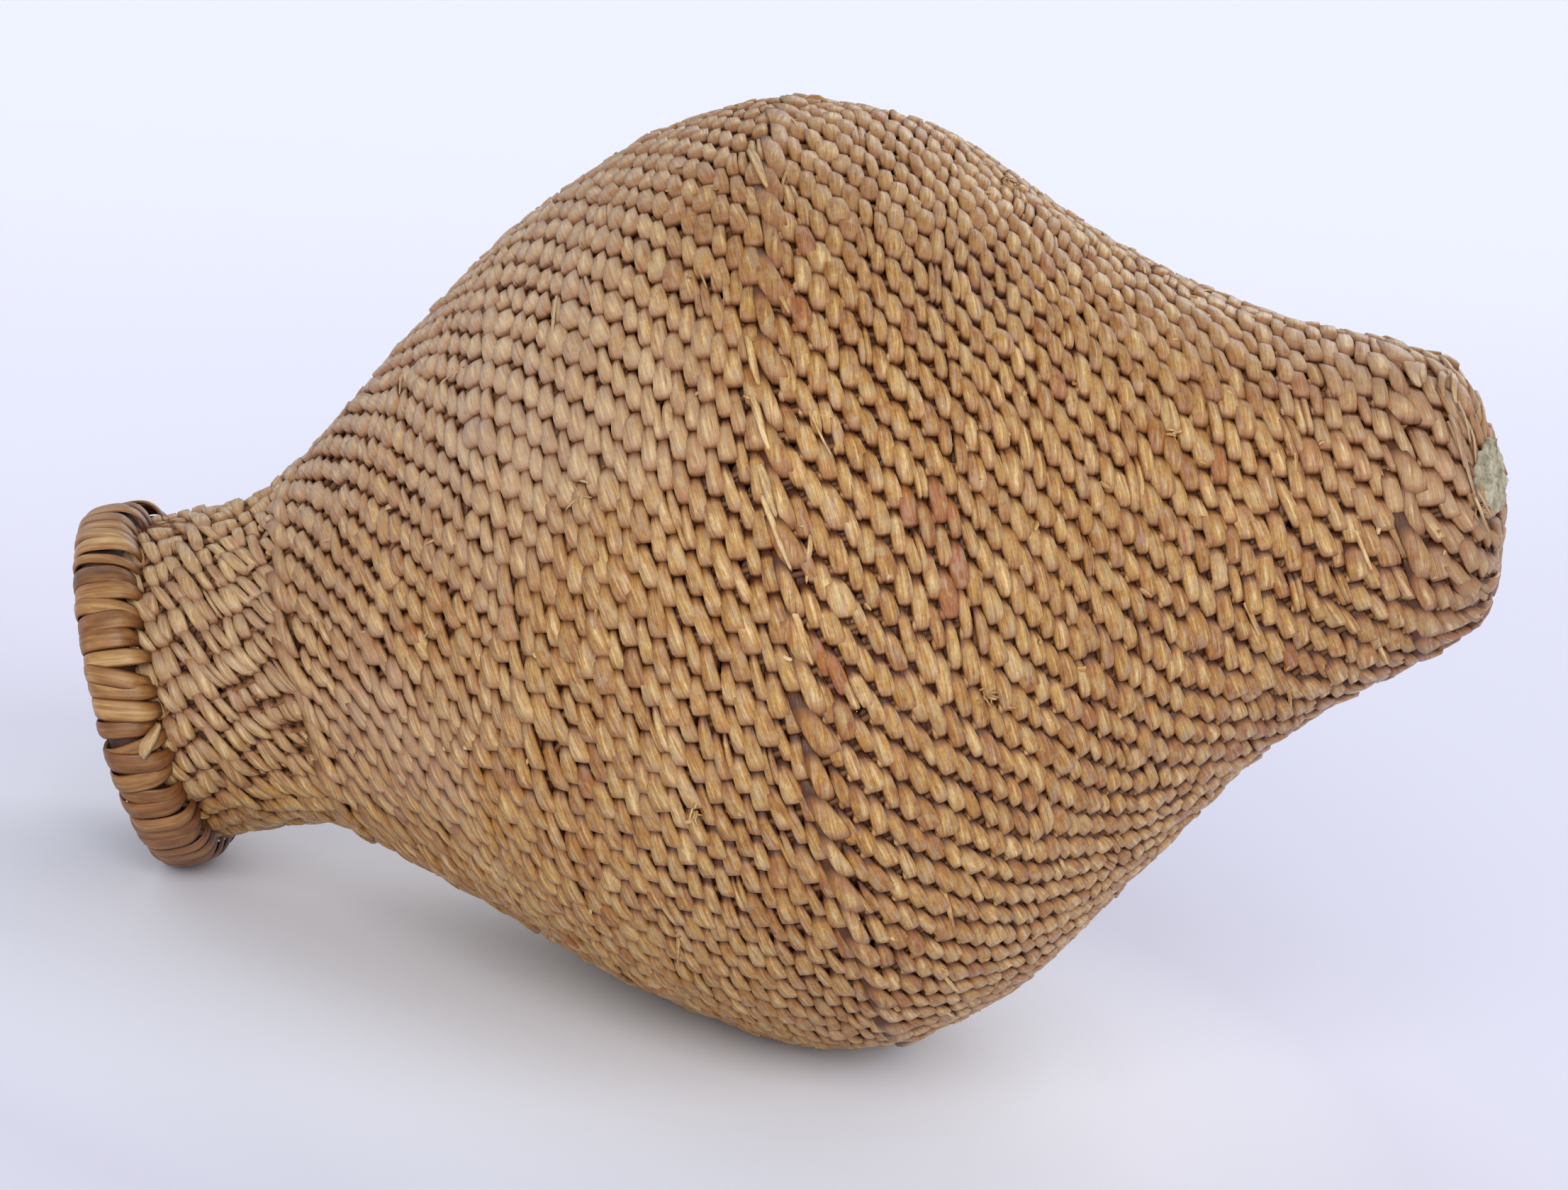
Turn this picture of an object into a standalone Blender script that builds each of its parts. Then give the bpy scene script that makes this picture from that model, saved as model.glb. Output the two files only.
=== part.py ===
# Twined seed basket, lying on its belly and its rim with the mouth towards -X.
# Metres, +Z up. The origin is on the floor under the middle of the basket's box.
# Each wall is first turned about a straight axis, at distances measured from the mouth
# towards the base. settle() then lets the neck droop, sets the mouth askew and lays it down.
import math

import bmesh
import bpy
from mathutils import Vector

# The outline: distance from the mouth and outer radius at each station
OUTLINE = [
    (0.010, 0.0380), (0.022, 0.0378), (0.033, 0.0378), (0.046, 0.0405), (0.062, 0.0510),
    (0.084, 0.0682), (0.108, 0.0860), (0.136, 0.1006), (0.156, 0.1062), (0.174, 0.1068),
    (0.202, 0.0962), (0.230, 0.0740), (0.254, 0.0555), (0.276, 0.0434), (0.294, 0.0367),
    (0.308, 0.0306),
]
BASE_TIP = 0.3183
BASE_ROUNDNESS = 1.75

# How it lies
TILT = math.radians(21.5)
BELLY_AT = 0.174
BELLY_PLACE = Vector((0.01876, 0.0, 0.1062))
DROOP = 0.0074
ASKEW = 0.11
ASKEW_REACH = 0.030

# The weave
WALL = 0.0036
GAP = 0.0003
SIDES = 40
RING_STEP = 0.0145
COURSE_HALF = 0.0019
COURSE_PROUD = 0.0004
FURROW_HALF = 0.0012
FURROW_DEPTH = 0.0013
COURSES = {
    "neck_course": 0.028,
    "throat_course": 0.0515,
    "shoulder_course": 0.1105,
    "belly_course": BELLY_AT,
    "foot_course": 0.2985,
}
# The rows of twining lie 3 to 4 mm apart; these are the furrows after every fifth or sixth row
UPPER_FURROWS = (0.1260, 0.1425, 0.1588)
LOWER_FURROWS = (0.1949, 0.2115, 0.2260, 0.2412, 0.2581, 0.2767)
WARPS = 24
WARP_RADIUS = 0.0009
WARP_CLEAR = 0.0008
WARP_FROM = 0.0110
WARP_TO = 0.3060
WARP_LONG_STEP = 0.026
WARP_SAG = 0.00045

# The rim
WALL_EDGE = 0.0108
HOOP_AT = 0.0069
HOOP_RING = 0.0362
HOOP_RADIUS = 0.0034
HOOP_SIDES = 7
SPLINT_RADIUS = 0.0015
LACE_AT = 0.0150
LACE_HOLE = 0.00265
LACE_HOLE_SIDES = 8
LACE_HALF_ROUND = 0.0054
LOOPS = WARPS - 1
LOOP_POINTS = 24

# The base
START_FROM = 0.3110
START_STEPS = 5
START_FLAT_INSIDE = 0.55
PATCH_RADIUS = 0.0080
PATCH_FLAT = 0.0040
PATCH_SHOULDER = 0.0068
PATCH_PLACE = Vector((-0.0020, -0.0045, 0.0))
PATCH_PROUD = 0.0012
PATCH_SIDES = 20
HOLE_REACH = 0.010

FLOOR_BLOCK = Vector((0.6, 0.4, 0.1))


# Reads the outline as a smooth curve through its stations
def outer_radius(along):
    if along > OUTLINE[-1][0]:
        part = min((along - OUTLINE[-1][0]) / (BASE_TIP - OUTLINE[-1][0]), 1.0)
        return OUTLINE[-1][1] * (1.0 - part ** BASE_ROUNDNESS) ** (1.0 / BASE_ROUNDNESS)
    last = len(OUTLINE) - 1
    index = 0
    while index < last - 1 and along > OUTLINE[index + 1][0]:
        index += 1

    def slope(i):
        before, after = OUTLINE[max(i - 1, 0)], OUTLINE[min(i + 1, last)]
        return (after[1] - before[1]) / (after[0] - before[0])

    (start, r_start), (end, r_end) = OUTLINE[index], OUTLINE[index + 1]
    span = end - start
    t = (along - start) / span
    return (
        (2 * t**3 - 3 * t**2 + 1) * r_start
        + (t**3 - 2 * t**2 + t) * span * slope(index)
        + (3 * t**2 - 2 * t**3) * r_end
        + (t**3 - t**2) * span * slope(index + 1)
    )


# A point under the outer surface: (distance from the mouth, radius) at a depth along its normal
def under_skin(along, depth):
    nudge = 0.0004
    rise = (outer_radius(along + nudge) - outer_radius(along - nudge)) / (2 * nudge)
    length = math.hypot(1.0, rise)
    return along + depth * rise / length, outer_radius(along) - depth / length


# From the straight basket (x, y across the axis, z along it) to the basket as it lies
def lie(point):
    across, side, along = point
    height = -across
    along -= ASKEW * side * math.exp(-max(along, 0.0) / ASKEW_REACH)
    before_belly = max(BELLY_AT - along, 0.0) / BELLY_AT
    sag = DROOP * before_belly**2
    lean = math.atan(2 * DROOP * before_belly / BELLY_AT)
    run = along - BELLY_AT - height * math.sin(lean)
    lift = height * math.cos(lean) - sag
    return BELLY_PLACE + Vector((
        run * math.cos(TILT) - lift * math.sin(TILT),
        side,
        run * math.sin(TILT) + lift * math.cos(TILT),
    ))


def collection(name):
    made = bpy.data.collections.new(name)
    bpy.context.scene.collection.children.link(made)
    return made


def finish(name, colour, roughness):
    material = bpy.data.materials.new(name)
    material.use_nodes = True
    shader = material.node_tree.nodes["Principled BSDF"]
    shader.inputs["Base Color"].default_value = (*colour, 1.0)
    shader.inputs["Roughness"].default_value = roughness
    shader.inputs["Metallic"].default_value = 0.0
    return material


def add_object(name, data, group, material=None):
    made = bpy.data.objects.new(name, data)
    group.objects.link(made)
    if material:
        data.materials.append(material)
    return made


# Puts the evaluated shape of an object in its place, moved by lie() or by another map
def settle(shape, place=lie):
    bpy.context.view_layer.update()
    mesh = bpy.data.meshes.new_from_object(shape.evaluated_get(bpy.context.evaluated_depsgraph_get()))
    form = bmesh.new()
    form.from_mesh(mesh)
    bmesh.ops.remove_doubles(form, verts=form.verts, dist=1e-6)
    for vert in form.verts:
        vert.co = place(vert.co)
    bmesh.ops.recalc_face_normals(form, faces=form.faces)
    form.to_mesh(mesh)
    form.free()
    mesh.shade_smooth()
    mesh.set_sharp_from_angle(angle=math.radians(40))
    old = shape.data
    name = shape.name
    group = shape.users_collection[0]
    bpy.data.objects.remove(shape)
    if isinstance(old, bpy.types.Curve):
        bpy.data.curves.remove(old)
    return add_object(name, mesh, group)


# A solid turned from a profile of (distance from the mouth, radius), outer side first
def turned(name, profile, material, group, sides=SIDES, closed=True):
    mesh = bpy.data.meshes.new(name)
    points = [(radius, 0.0, along) for along, radius in profile]
    edges = [(i, i + 1) for i in range(len(points) - 1)]
    if closed:
        edges.append((len(points) - 1, 0))
    mesh.from_pydata(points, edges, [])
    made = add_object(name, mesh, group, material)
    turn = made.modifiers.new("turn", "SCREW")
    turn.steps = sides
    turn.render_steps = sides
    turn.use_merge_vertices = True
    turn.merge_threshold = 1e-5
    return made


def stations(start, end):
    count = max(2, math.ceil((end - start) / RING_STEP))
    return [start + (end - start) * i / count for i in range(count + 1)]


# The outer side of a wall, smooth or with a furrow cut at each place given
def outer_side(start, end, furrows):
    if not furrows:
        return [under_skin(along, 0.0) for along in stations(start, end)]
    side = [under_skin(start, 0.0)]
    for along in furrows:
        side += [
            under_skin(along - FURROW_HALF, 0.0), under_skin(along, FURROW_DEPTH), under_skin(along + FURROW_HALF, 0.0)
        ]
    return [*side, under_skin(end, 0.0)]


def wall(name, start, end, material, group, furrows=()):
    outside = outer_side(start, end, furrows)[::-1]
    inside = [under_skin(along, WALL) for along in stations(start, end)]
    return turned(name, outside + inside, material, group)


# A three-strand course: a bead that bands the wall and stands a little proud of it
def course(name, middle, material, group):
    half_depth = (WALL + COURSE_PROUD) / 2
    profile = []
    for corner in range(6):
        turn = math.radians(60 * corner + 30)
        along = middle + COURSE_HALF * math.sin(turn)
        depth = half_depth - COURSE_PROUD - half_depth * math.cos(turn) / math.cos(math.radians(30))
        profile.append(under_skin(along, depth))
    profile.reverse()
    return turned(name, profile, material, group)


def tube(name, points, radius, resolution, material, group):
    curve = bpy.data.curves.new(name, "CURVE")
    curve.dimensions = "3D"
    curve.bevel_depth = radius
    curve.bevel_resolution = resolution
    curve.use_fill_caps = True
    line = curve.splines.new("POLY")
    line.points.add(len(points) - 1)
    for knot, point in zip(line.points, points):
        knot.co = (*point, 1.0)
    return add_object(name, curve, group, material)


# Where a warp bends: close together where the wall is hollow and would meet a straight run
def warp_stations():
    reach = 0.006
    along = WARP_FROM
    found = []
    while along < WARP_TO - reach / 2:
        found.append(along)
        ahead = min(along + reach, WARP_TO)
        hollow = outer_radius(ahead + reach) + outer_radius(ahead - reach) - 2 * outer_radius(ahead)
        step = math.sqrt(8 * WARP_SAG * reach**2 / max(hollow, 1e-7))
        along += min(step, WARP_LONG_STEP)
    return [*found, WARP_TO]


# One of the upright rods, inside the weft from the rim down to the base
def warp(number, material, group):
    turn = math.tau * (number + 0.5) / WARPS
    depth = WALL + WARP_CLEAR + WARP_RADIUS
    points = []
    for station in warp_stations():
        along, radius = under_skin(station, depth)
        points.append(lie(Vector((radius * math.cos(turn), radius * math.sin(turn), along))))
    return tube(f"warp_{number + 1:02d}", points, WARP_RADIUS, 0, material, group)


# The binding's path, in loops round the hoop and through the lacing holes
def binding_path():
    top = SPLINT_RADIUS
    middle = (top + LACE_AT) / 2
    half = (LACE_AT - top) / 2
    path = []
    for step in range(LOOPS * LOOP_POINTS + 1):
        loop = step / LOOP_POINTS
        turn = math.tau * loop
        radius = HOOP_RING + LACE_HALF_ROUND * math.sin(turn)
        along = middle + half * math.cos(turn)
        bearing = math.tau * loop / WARPS
        path.append(Vector((radius * math.cos(bearing), radius * math.sin(bearing), along)))
    first = Vector((HOOP_RING - 2 * SPLINT_RADIUS, 0.0, LACE_AT))
    bearing = math.tau * LOOPS / WARPS
    outer = HOOP_RING + 2 * SPLINT_RADIUS
    last = Vector((outer * math.cos(bearing), outer * math.sin(bearing), LACE_AT))
    return [first, *path, last]


# The least gap between two loops of the binding, surface to surface
def least_gap(path):
    nearest = min(
        (a - b).length
        for i, a in enumerate(path)
        for b in path[i + LOOP_POINTS // 2:i + 2 * LOOP_POINTS]
    )
    return nearest - 2 * SPLINT_RADIUS


def cut(piece, cutter):
    boolean = piece.modifiers.new("cut", "BOOLEAN")
    boolean.operation = "DIFFERENCE"
    boolean.object = cutter
    boolean.solver = "EXACT"


def as_cutter(shape):
    shape.hide_render = True
    shape.display_type = "WIRE"
    return shape


for leftover in list(bpy.data.objects):
    bpy.data.objects.remove(leftover)

basket = collection("seed_basket")
cutters = collection("cutters")

willow = finish("willow_weft", (0.42, 0.26, 0.13), 0.55)
reinforced = finish("willow_course", (0.38, 0.22, 0.10), 0.5)
rods = finish("peeled_warp", (0.46, 0.32, 0.18), 0.6)
withe = finish("hoop_withe", (0.24, 0.12, 0.05), 0.5)
splint = finish("binding_splint", (0.36, 0.20, 0.08), 0.38)
start_weft = finish("start_weft", (0.36, 0.22, 0.12), 0.6)
mend = finish("mend_fibre", (0.50, 0.50, 0.38), 0.85)

# The floor that the basket has settled on
floor_mesh = bpy.data.meshes.new("floor")
floor_form = bmesh.new()
bmesh.ops.create_cube(floor_form, size=1.0)
bmesh.ops.scale(floor_form, vec=FLOOR_BLOCK, verts=floor_form.verts)
bmesh.ops.translate(floor_form, vec=Vector((0.0, 0.0, -FLOOR_BLOCK.z / 2)), verts=floor_form.verts)
floor_form.to_mesh(floor_mesh)
floor_form.free()
floor = as_cutter(add_object("floor", floor_mesh, cutters))

# The walls between the courses, from the mouth to the base
beside = COURSE_HALF + GAP
neck, throat, shoulder, belly, foot = COURSES.values()
collar = wall("collar_wall", WALL_EDGE, neck - beside, willow, basket)
walls = [
    wall("neck_wall", neck + beside, throat - beside, willow, basket),
    wall("throat_wall", throat + beside, shoulder - beside, willow, basket),
    wall("upper_wall", shoulder + beside, belly - beside, willow, basket, UPPER_FURROWS),
    wall("lower_wall", belly + beside, foot - beside, willow, basket, LOWER_FURROWS),
    wall("foot_wall", foot + beside, START_FROM, willow, basket),
]
rings = [course(name, middle, reinforced, basket) for name, middle in COURSES.items()]

# The lacing holes, one for each loop of the binding and one for its end
hole_form = bmesh.new()
for number in range(WARPS):
    bearing = math.tau * number / WARPS
    ring = bmesh.ops.create_cone(
        hole_form, cap_ends=True, segments=LACE_HOLE_SIDES, radius1=LACE_HOLE, radius2=LACE_HOLE, depth=4 * WALL
    )
    side = Vector((math.cos(bearing), math.sin(bearing), 0.0))
    turn = Vector((0.0, 0.0, 1.0)).rotation_difference(side).to_matrix()
    bmesh.ops.rotate(hole_form, cent=Vector(), matrix=turn, verts=ring["verts"])
    bmesh.ops.translate(hole_form, vec=side * HOOP_RING + Vector((0.0, 0.0, LACE_AT)), verts=ring["verts"])
hole_mesh = bpy.data.meshes.new("lacing_holes")
hole_form.to_mesh(hole_mesh)
hole_form.free()
cut(collar, as_cutter(add_object("lacing_holes", hole_mesh, cutters)))

# The base: the woven start closes the end, and a plug of fibre mends a hole in it
inner_tip = BASE_TIP - WALL
start_outside = []
for i in range(START_STEPS):
    along = BASE_TIP - (BASE_TIP - START_FROM - GAP) * (i / (START_STEPS - 1)) ** 2
    start_outside.append((along, outer_radius(along)))
edge_along, edge_radius = under_skin(START_FROM + GAP, WALL)
start_inside = [(edge_along, edge_radius), (inner_tip, edge_radius * START_FLAT_INSIDE), (inner_tip, 0.0)]
start = turned("base_start", start_outside + start_inside, start_weft, basket, closed=False)
plug_profile = [
    (BASE_TIP + PATCH_PROUD, 0.0), (BASE_TIP + PATCH_PROUD, PATCH_FLAT),
    (BASE_TIP + 0.3 * PATCH_PROUD, PATCH_SHOULDER), (BASE_TIP - PATCH_PROUD, PATCH_RADIUS),
    (inner_tip - PATCH_PROUD, PATCH_RADIUS), (inner_tip - PATCH_PROUD, 0.0),
]
patch = turned("base_patch", plug_profile, mend, basket, PATCH_SIDES, closed=False)
hole_profile = [
    (BASE_TIP + HOLE_REACH, 0.0), (BASE_TIP + HOLE_REACH, PATCH_RADIUS + GAP),
    (inner_tip - HOLE_REACH, PATCH_RADIUS + GAP), (inner_tip - HOLE_REACH, 0.0),
]
patch_hole = as_cutter(turned("patch_hole", hole_profile, None, cutters, PATCH_SIDES, closed=False))
patch_hole.location = PATCH_PLACE
cut(start, patch_hole)

settle(collar)
for piece in walls + rings:
    settle(piece)
settle(start)
settle(patch, lambda point: lie(point + PATCH_PLACE))

for number in range(WARPS):
    warp(number, rods, basket)

# The rim: a hoop, and the splint that is wound round it and through the holes
hoop_profile = []
for corner in range(HOOP_SIDES):
    turn = -math.tau * (corner + 0.5) / HOOP_SIDES
    hoop_profile.append((HOOP_AT + HOOP_RADIUS * math.sin(turn), HOOP_RING + HOOP_RADIUS * math.cos(turn)))
settle(turned("rim_hoop", hoop_profile, withe, basket))
winding = binding_path()
print(f"least gap of the binding to itself: {1000 * least_gap(winding):.2f} mm")
binding = tube("rim_binding", [lie(point) for point in winding], SPLINT_RADIUS, 1, splint, basket)
binding = settle(binding, lambda point: point)

# What touches the floor is worn flat by it
for piece in (bpy.data.objects["upper_wall"], binding):
    cut(piece, floor)
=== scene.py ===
import math

import bpy
import numpy as np
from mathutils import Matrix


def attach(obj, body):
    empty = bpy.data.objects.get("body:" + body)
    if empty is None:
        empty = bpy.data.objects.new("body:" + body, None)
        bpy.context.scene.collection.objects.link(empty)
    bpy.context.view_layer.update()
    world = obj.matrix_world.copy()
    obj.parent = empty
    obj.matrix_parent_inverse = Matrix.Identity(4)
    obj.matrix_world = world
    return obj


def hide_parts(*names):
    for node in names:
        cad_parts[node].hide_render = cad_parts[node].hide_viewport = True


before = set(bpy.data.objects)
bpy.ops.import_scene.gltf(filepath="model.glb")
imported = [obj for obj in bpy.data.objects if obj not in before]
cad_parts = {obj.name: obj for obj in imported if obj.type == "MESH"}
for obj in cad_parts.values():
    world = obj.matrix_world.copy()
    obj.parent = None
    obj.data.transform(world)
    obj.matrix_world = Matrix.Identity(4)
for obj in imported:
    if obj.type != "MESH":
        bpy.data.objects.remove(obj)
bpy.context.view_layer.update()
chance = np.random.default_rng(7)

# ---- Warps
# Upright rods of peeled willow. They start crossed at the base, spread over the
# belly as more are let in, and are cut two by two as the neck closes. The weft
# is twined round them, so they show only in the pits between stitches.

MM = 0.001
WARPS, WARP_HALF, WARP_DEPTH = 136, 0.8 * MM, 1.9 * MM
OUTLINE = np.array([
    (0.010, 0.0380), (0.022, 0.0378), (0.033, 0.0378), (0.046, 0.0405), (0.062, 0.0510),
    (0.084, 0.0682), (0.108, 0.0860), (0.136, 0.1006), (0.156, 0.1062), (0.174, 0.1068),
    (0.202, 0.0962), (0.230, 0.0740), (0.254, 0.0555), (0.276, 0.0434), (0.294, 0.0367),
    (0.308, 0.0306)])
BASE_TIP, BASE_ROUNDNESS = 0.3183, 1.75
TILT, BELLY_AT, BELLY_PLACE = math.radians(21.5), 0.174, (0.01876, 0.0, 0.1062)
DROOP, ASKEW, ASKEW_REACH = 0.0074, 0.11, 0.030
SETTLED = 0.7 * MM


def radius(along):
    """The outer radius of the basket at a distance from its mouth."""
    s, r = OUTLINE.T
    slope = np.concatenate(([(r[1] - r[0]) / (s[1] - s[0])], (r[2:] - r[:-2]) / (s[2:] - s[:-2]),
                            [(r[-1] - r[-2]) / (s[-1] - s[-2])]))
    i = np.clip(np.searchsorted(s, along) - 1, 0, len(s) - 2)
    step = s[i + 1] - s[i]
    t = (along - s[i]) / step
    wall = ((2 * t**3 - 3 * t**2 + 1) * r[i] + (t**3 - 2 * t**2 + t) * step * slope[i]
            + (3 * t**2 - 2 * t**3) * r[i + 1] + (t**3 - t**2) * step * slope[i + 1])
    part = np.clip((along - s[-1]) / (BASE_TIP - s[-1]), 0, 1)
    dome = r[-1] * (1 - part**BASE_ROUNDNESS) ** (1 / BASE_ROUNDNESS)
    return np.where(along > s[-1], dome, wall)


def lie(across, side, along):
    """Lays the upright basket on its side, with the neck's droop and the mouth's skew, settled on the floor."""
    along = along - ASKEW * side * np.exp(-np.maximum(along, 0) / ASKEW_REACH)
    before = np.maximum(BELLY_AT - along, 0) / BELLY_AT
    lean = np.arctan(2 * DROOP * before / BELLY_AT)
    run = along - BELLY_AT + across * np.sin(lean)
    lift = -across * np.cos(lean) - DROOP * before**2
    place = np.stack((BELLY_PLACE[0] + run * math.cos(TILT) - lift * math.sin(TILT), side,
                      BELLY_PLACE[2] + run * math.sin(TILT) + lift * math.cos(TILT)), -1)
    low = place[:, 2] < SETTLED
    place[low, 2] = SETTLED * np.exp((place[low, 2] - SETTLED) / SETTLED)
    return place


ALONG = np.linspace(0.009, BASE_TIP, 6000)
ARC = np.concatenate(([0], np.cumsum(np.hypot(np.diff(ALONG), np.diff(radius(ALONG))))))


def arc_of(along):
    return np.interp(along, ALONG, ARC)


def along_of(arc):
    return np.interp(arc, ARC, ALONG)


def on_skin(arc, bearing, depth):
    """A point under the basket's skin: arc runs down the wall, bearing 0 points to the floor."""
    along = along_of(arc)
    rise = (radius(along + 0.4 * MM) - radius(along - 0.4 * MM)) / (0.8 * MM)
    rise = np.clip(rise, -30, 30)
    length = np.hypot(1, rise)
    out = radius(along) - depth / length
    return lie(out * np.cos(bearing), out * np.sin(bearing), along + depth * rise / length)


# Three-strand courses stand at these distances from the mouth. Between them lie the
# courses of two-strand twining, at a pitch that the weaver changed with the curve.
ROPES = {0.028: "neck_course", 0.0515: "throat_course", 0.1105: "shoulder_course",
         BELLY_AT: "belly_course", 0.2985: "foot_course"}
ZONES = [("collar_wall", 0.0108, 0.0258), ("neck_wall", 0.0302, 0.0493),
         ("throat_wall", 0.0537, 0.1083), ("upper_wall", 0.1127, 0.1718),
         ("lower_wall", 0.1762, 0.2963), ("foot_wall", 0.3007, 0.3110),
         ("base_start", 0.3112, 0.31828)]
ROPE_PITCH = 3.9 * MM
PITCH_AT = (0.010, 0.044, 0.062, 0.084, 0.103, 0.114, 0.135, 0.156, 0.202, 0.223, 0.250, 0.280, 0.318)
PITCH = (2.95, 3.0, 3.2, 3.6, 3.6, 3.9, 3.6, 3.3, 3.3, 3.1, 3.5, 3.5, 3.4)
STITCHES_AT = (0.010, 0.037, 0.049, 0.055, 0.065, 0.085, 0.103, 0.114, 0.135, 0.187, 0.202, 0.215,
               0.232, 0.247, 0.256, 0.270, 0.290, 0.2985, 0.308)
STITCHES = (30, 30, 34, 37, 40, 51, 62, 65, 68, 68, 64, 60, 50, 41, 36, 31, 27, 25, 21)
TIP_STITCH = 8.8 * MM


def stitches_round(along):
    if along > STITCHES_AT[-1]:
        return max(3, 2 * math.pi * float(radius(np.array(along))) / TIP_STITCH)
    return np.interp(along, STITCHES_AT, STITCHES)


courses = [{"zone": zone, "rope": True, "arc": float(arc_of(at)), "pitch": ROPE_PITCH} for at, zone in ROPES.items()]
for zone, start, end in ZONES:
    fine = np.linspace(arc_of(start), arc_of(end), 400)
    pitches = MM * np.interp(along_of(fine[1:]), PITCH_AT, PITCH)
    count = np.concatenate(([0], np.cumsum(np.diff(fine) / pitches)))
    rows = round(count[-1])
    for row in range(rows):
        edges = np.interp(np.array((row, row + 0.5, row + 1)) / rows * count[-1], count, fine)
        courses.append({"zone": zone, "rope": False, "arc": edges[1], "pitch": edges[2] - edges[0]})
courses.sort(key=lambda course: course["arc"])
for course in courses:
    course["along"] = float(along_of(course["arc"]))
belly = [course["zone"] for course in courses].index("belly_course")

# Two warps go at a time, at a new bearing each time, and the rest close up over
# the next courses. Warps lean a little from course to course, as twined ones do.
NECK_END, GOLDEN_TURN = 0.050, 0.6180339
DRIFT, NECK_DRIFT, NARROWEST = 0.65 * MM, 0.9 * MM, 0.02
wobble = chance.uniform(0, 2 * math.pi, (WARPS, 2))
for direction in (1, -1):
    rods = np.linspace(-math.pi, math.pi, WARPS, endpoint=False) + 0.01
    names = np.arange(WARPS)
    turn = 0.4
    i = belly
    while 0 <= i < len(courses):
        course = courses[i]
        size = float(radius(np.array(course["along"])))
        while len(rods) > 2 * round(stitches_round(course["along"])) and len(rods) > 6:
            turn = (turn + GOLDEN_TURN) % 1
            cut = int(turn * (len(rods) - 1))
            rods, names = np.delete(rods, (cut, cut + 1)), np.delete(names, (cut, cut + 1))
        for _ in range(5):
            after, before = np.roll(rods, -1), np.roll(rods, 1)
            after[-1] += 2 * math.pi
            before[0] -= 2 * math.pi
            rods = rods + 0.5 * (0.5 * (after + before) - rods)
        if i != belly:
            rods = rods - direction * (DRIFT if course["along"] > NECK_END else NECK_DRIFT) / max(size, NARROWEST)
        sway = (0.42 * np.sin(course["arc"] / (9 * MM) + wobble[names, 0])
                + 0.30 * np.sin(course["arc"] / (4.1 * MM) + wobble[names, 1]))
        course["rods"], course["names"] = rods + MM / max(size, NARROWEST) * sway, names.copy()
        i += direction


def wander(arc, bearing):
    """How far the weft strays from a true course, in metres: hand work never runs quite level."""
    ease = np.clip((arc - 0.004) / 0.03, 0, 1) * np.clip((ARC[-1] - arc) / 0.03, 0, 1)
    return MM * ease * (0.55 * np.sin(2 * bearing + 1.3 + arc / 0.031) + 0.4 * np.sin(3 * bearing - arc / 0.023 + 0.4)
                        + 0.3 * np.sin(7 * bearing + arc / 0.017 + 2.1) + 0.2 * np.sin(13 * bearing - arc / 0.011))


def swell(arc, bearing):
    """Low dents and swellings of the wall, in metres."""
    return MM * (0.35 * np.sin(3 * bearing + arc / 0.021 + 0.7) + 0.25 * np.sin(5 * bearing - arc / 0.014 + 2.0)
                 + 0.2 * np.sin(11 * bearing + arc / 0.009))


bpy.ops.object.select_all(action="DESELECT")
rod_curve = bpy.data.curves.new("warps", "CURVE")
rod_curve.dimensions = "3D"
rod_curve.bevel_depth, rod_curve.bevel_resolution, rod_curve.use_fill_caps = WARP_HALF, 0, True
for rod in range(WARPS):
    marks = [(c["arc"], c["rods"][list(c["names"]).index(rod)]) for c in courses if rod in c["names"]]
    arcs, bearings = np.array(marks).T
    points = on_skin(arcs + wander(arcs, bearings), bearings, np.full(len(arcs), WARP_DEPTH))
    spline = rod_curve.splines.new("POLY")
    spline.points.add(len(points) - 1)
    spline.points.foreach_set("co", np.column_stack((points, np.ones(len(points)))).ravel())
warps = bpy.data.objects.new("warps", rod_curve)
bpy.context.scene.collection.objects.link(warps)
bpy.context.view_layer.objects.active = warps
warps.select_set(True)
bpy.ops.object.convert(target="MESH")
bpy.ops.object.shade_smooth()


def rgb(red, green, blue):
    """A colour as a paint chart gives it, 0 to 255, in Blender's linear values."""
    return tuple(((c / 255 + 0.055) / 1.055) ** 2.4 if c > 10 else c / 255 / 12.92
                 for c in (red, green, blue)) + (1.0,)


class Value:
    """A socket in a finish. Sums on it add Math nodes."""

    def __init__(self, finish, socket):
        self.finish, self.socket = finish, socket

    def sum(self, operation, *others):
        return self.finish.add("ShaderNodeMath", {"operation": operation}, dict(enumerate((self,) + others)))

    def __add__(self, other): return self.sum("ADD", other)
    def __radd__(self, other): return self.sum("ADD", other)
    def __sub__(self, other): return self.sum("SUBTRACT", other)
    def __mul__(self, other): return self.sum("MULTIPLY", other)
    def __rmul__(self, other): return self.sum("MULTIPLY", other)
    def __pow__(self, other): return self.sum("POWER", other)

    def __rsub__(self, other):
        return self.finish.add("ShaderNodeMath", {"operation": "SUBTRACT"}, {0: other, 1: self})

    def kept(self, low=0.0, high=1.0):
        return self.sum("MAXIMUM", low).sum("MINIMUM", high)


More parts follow.
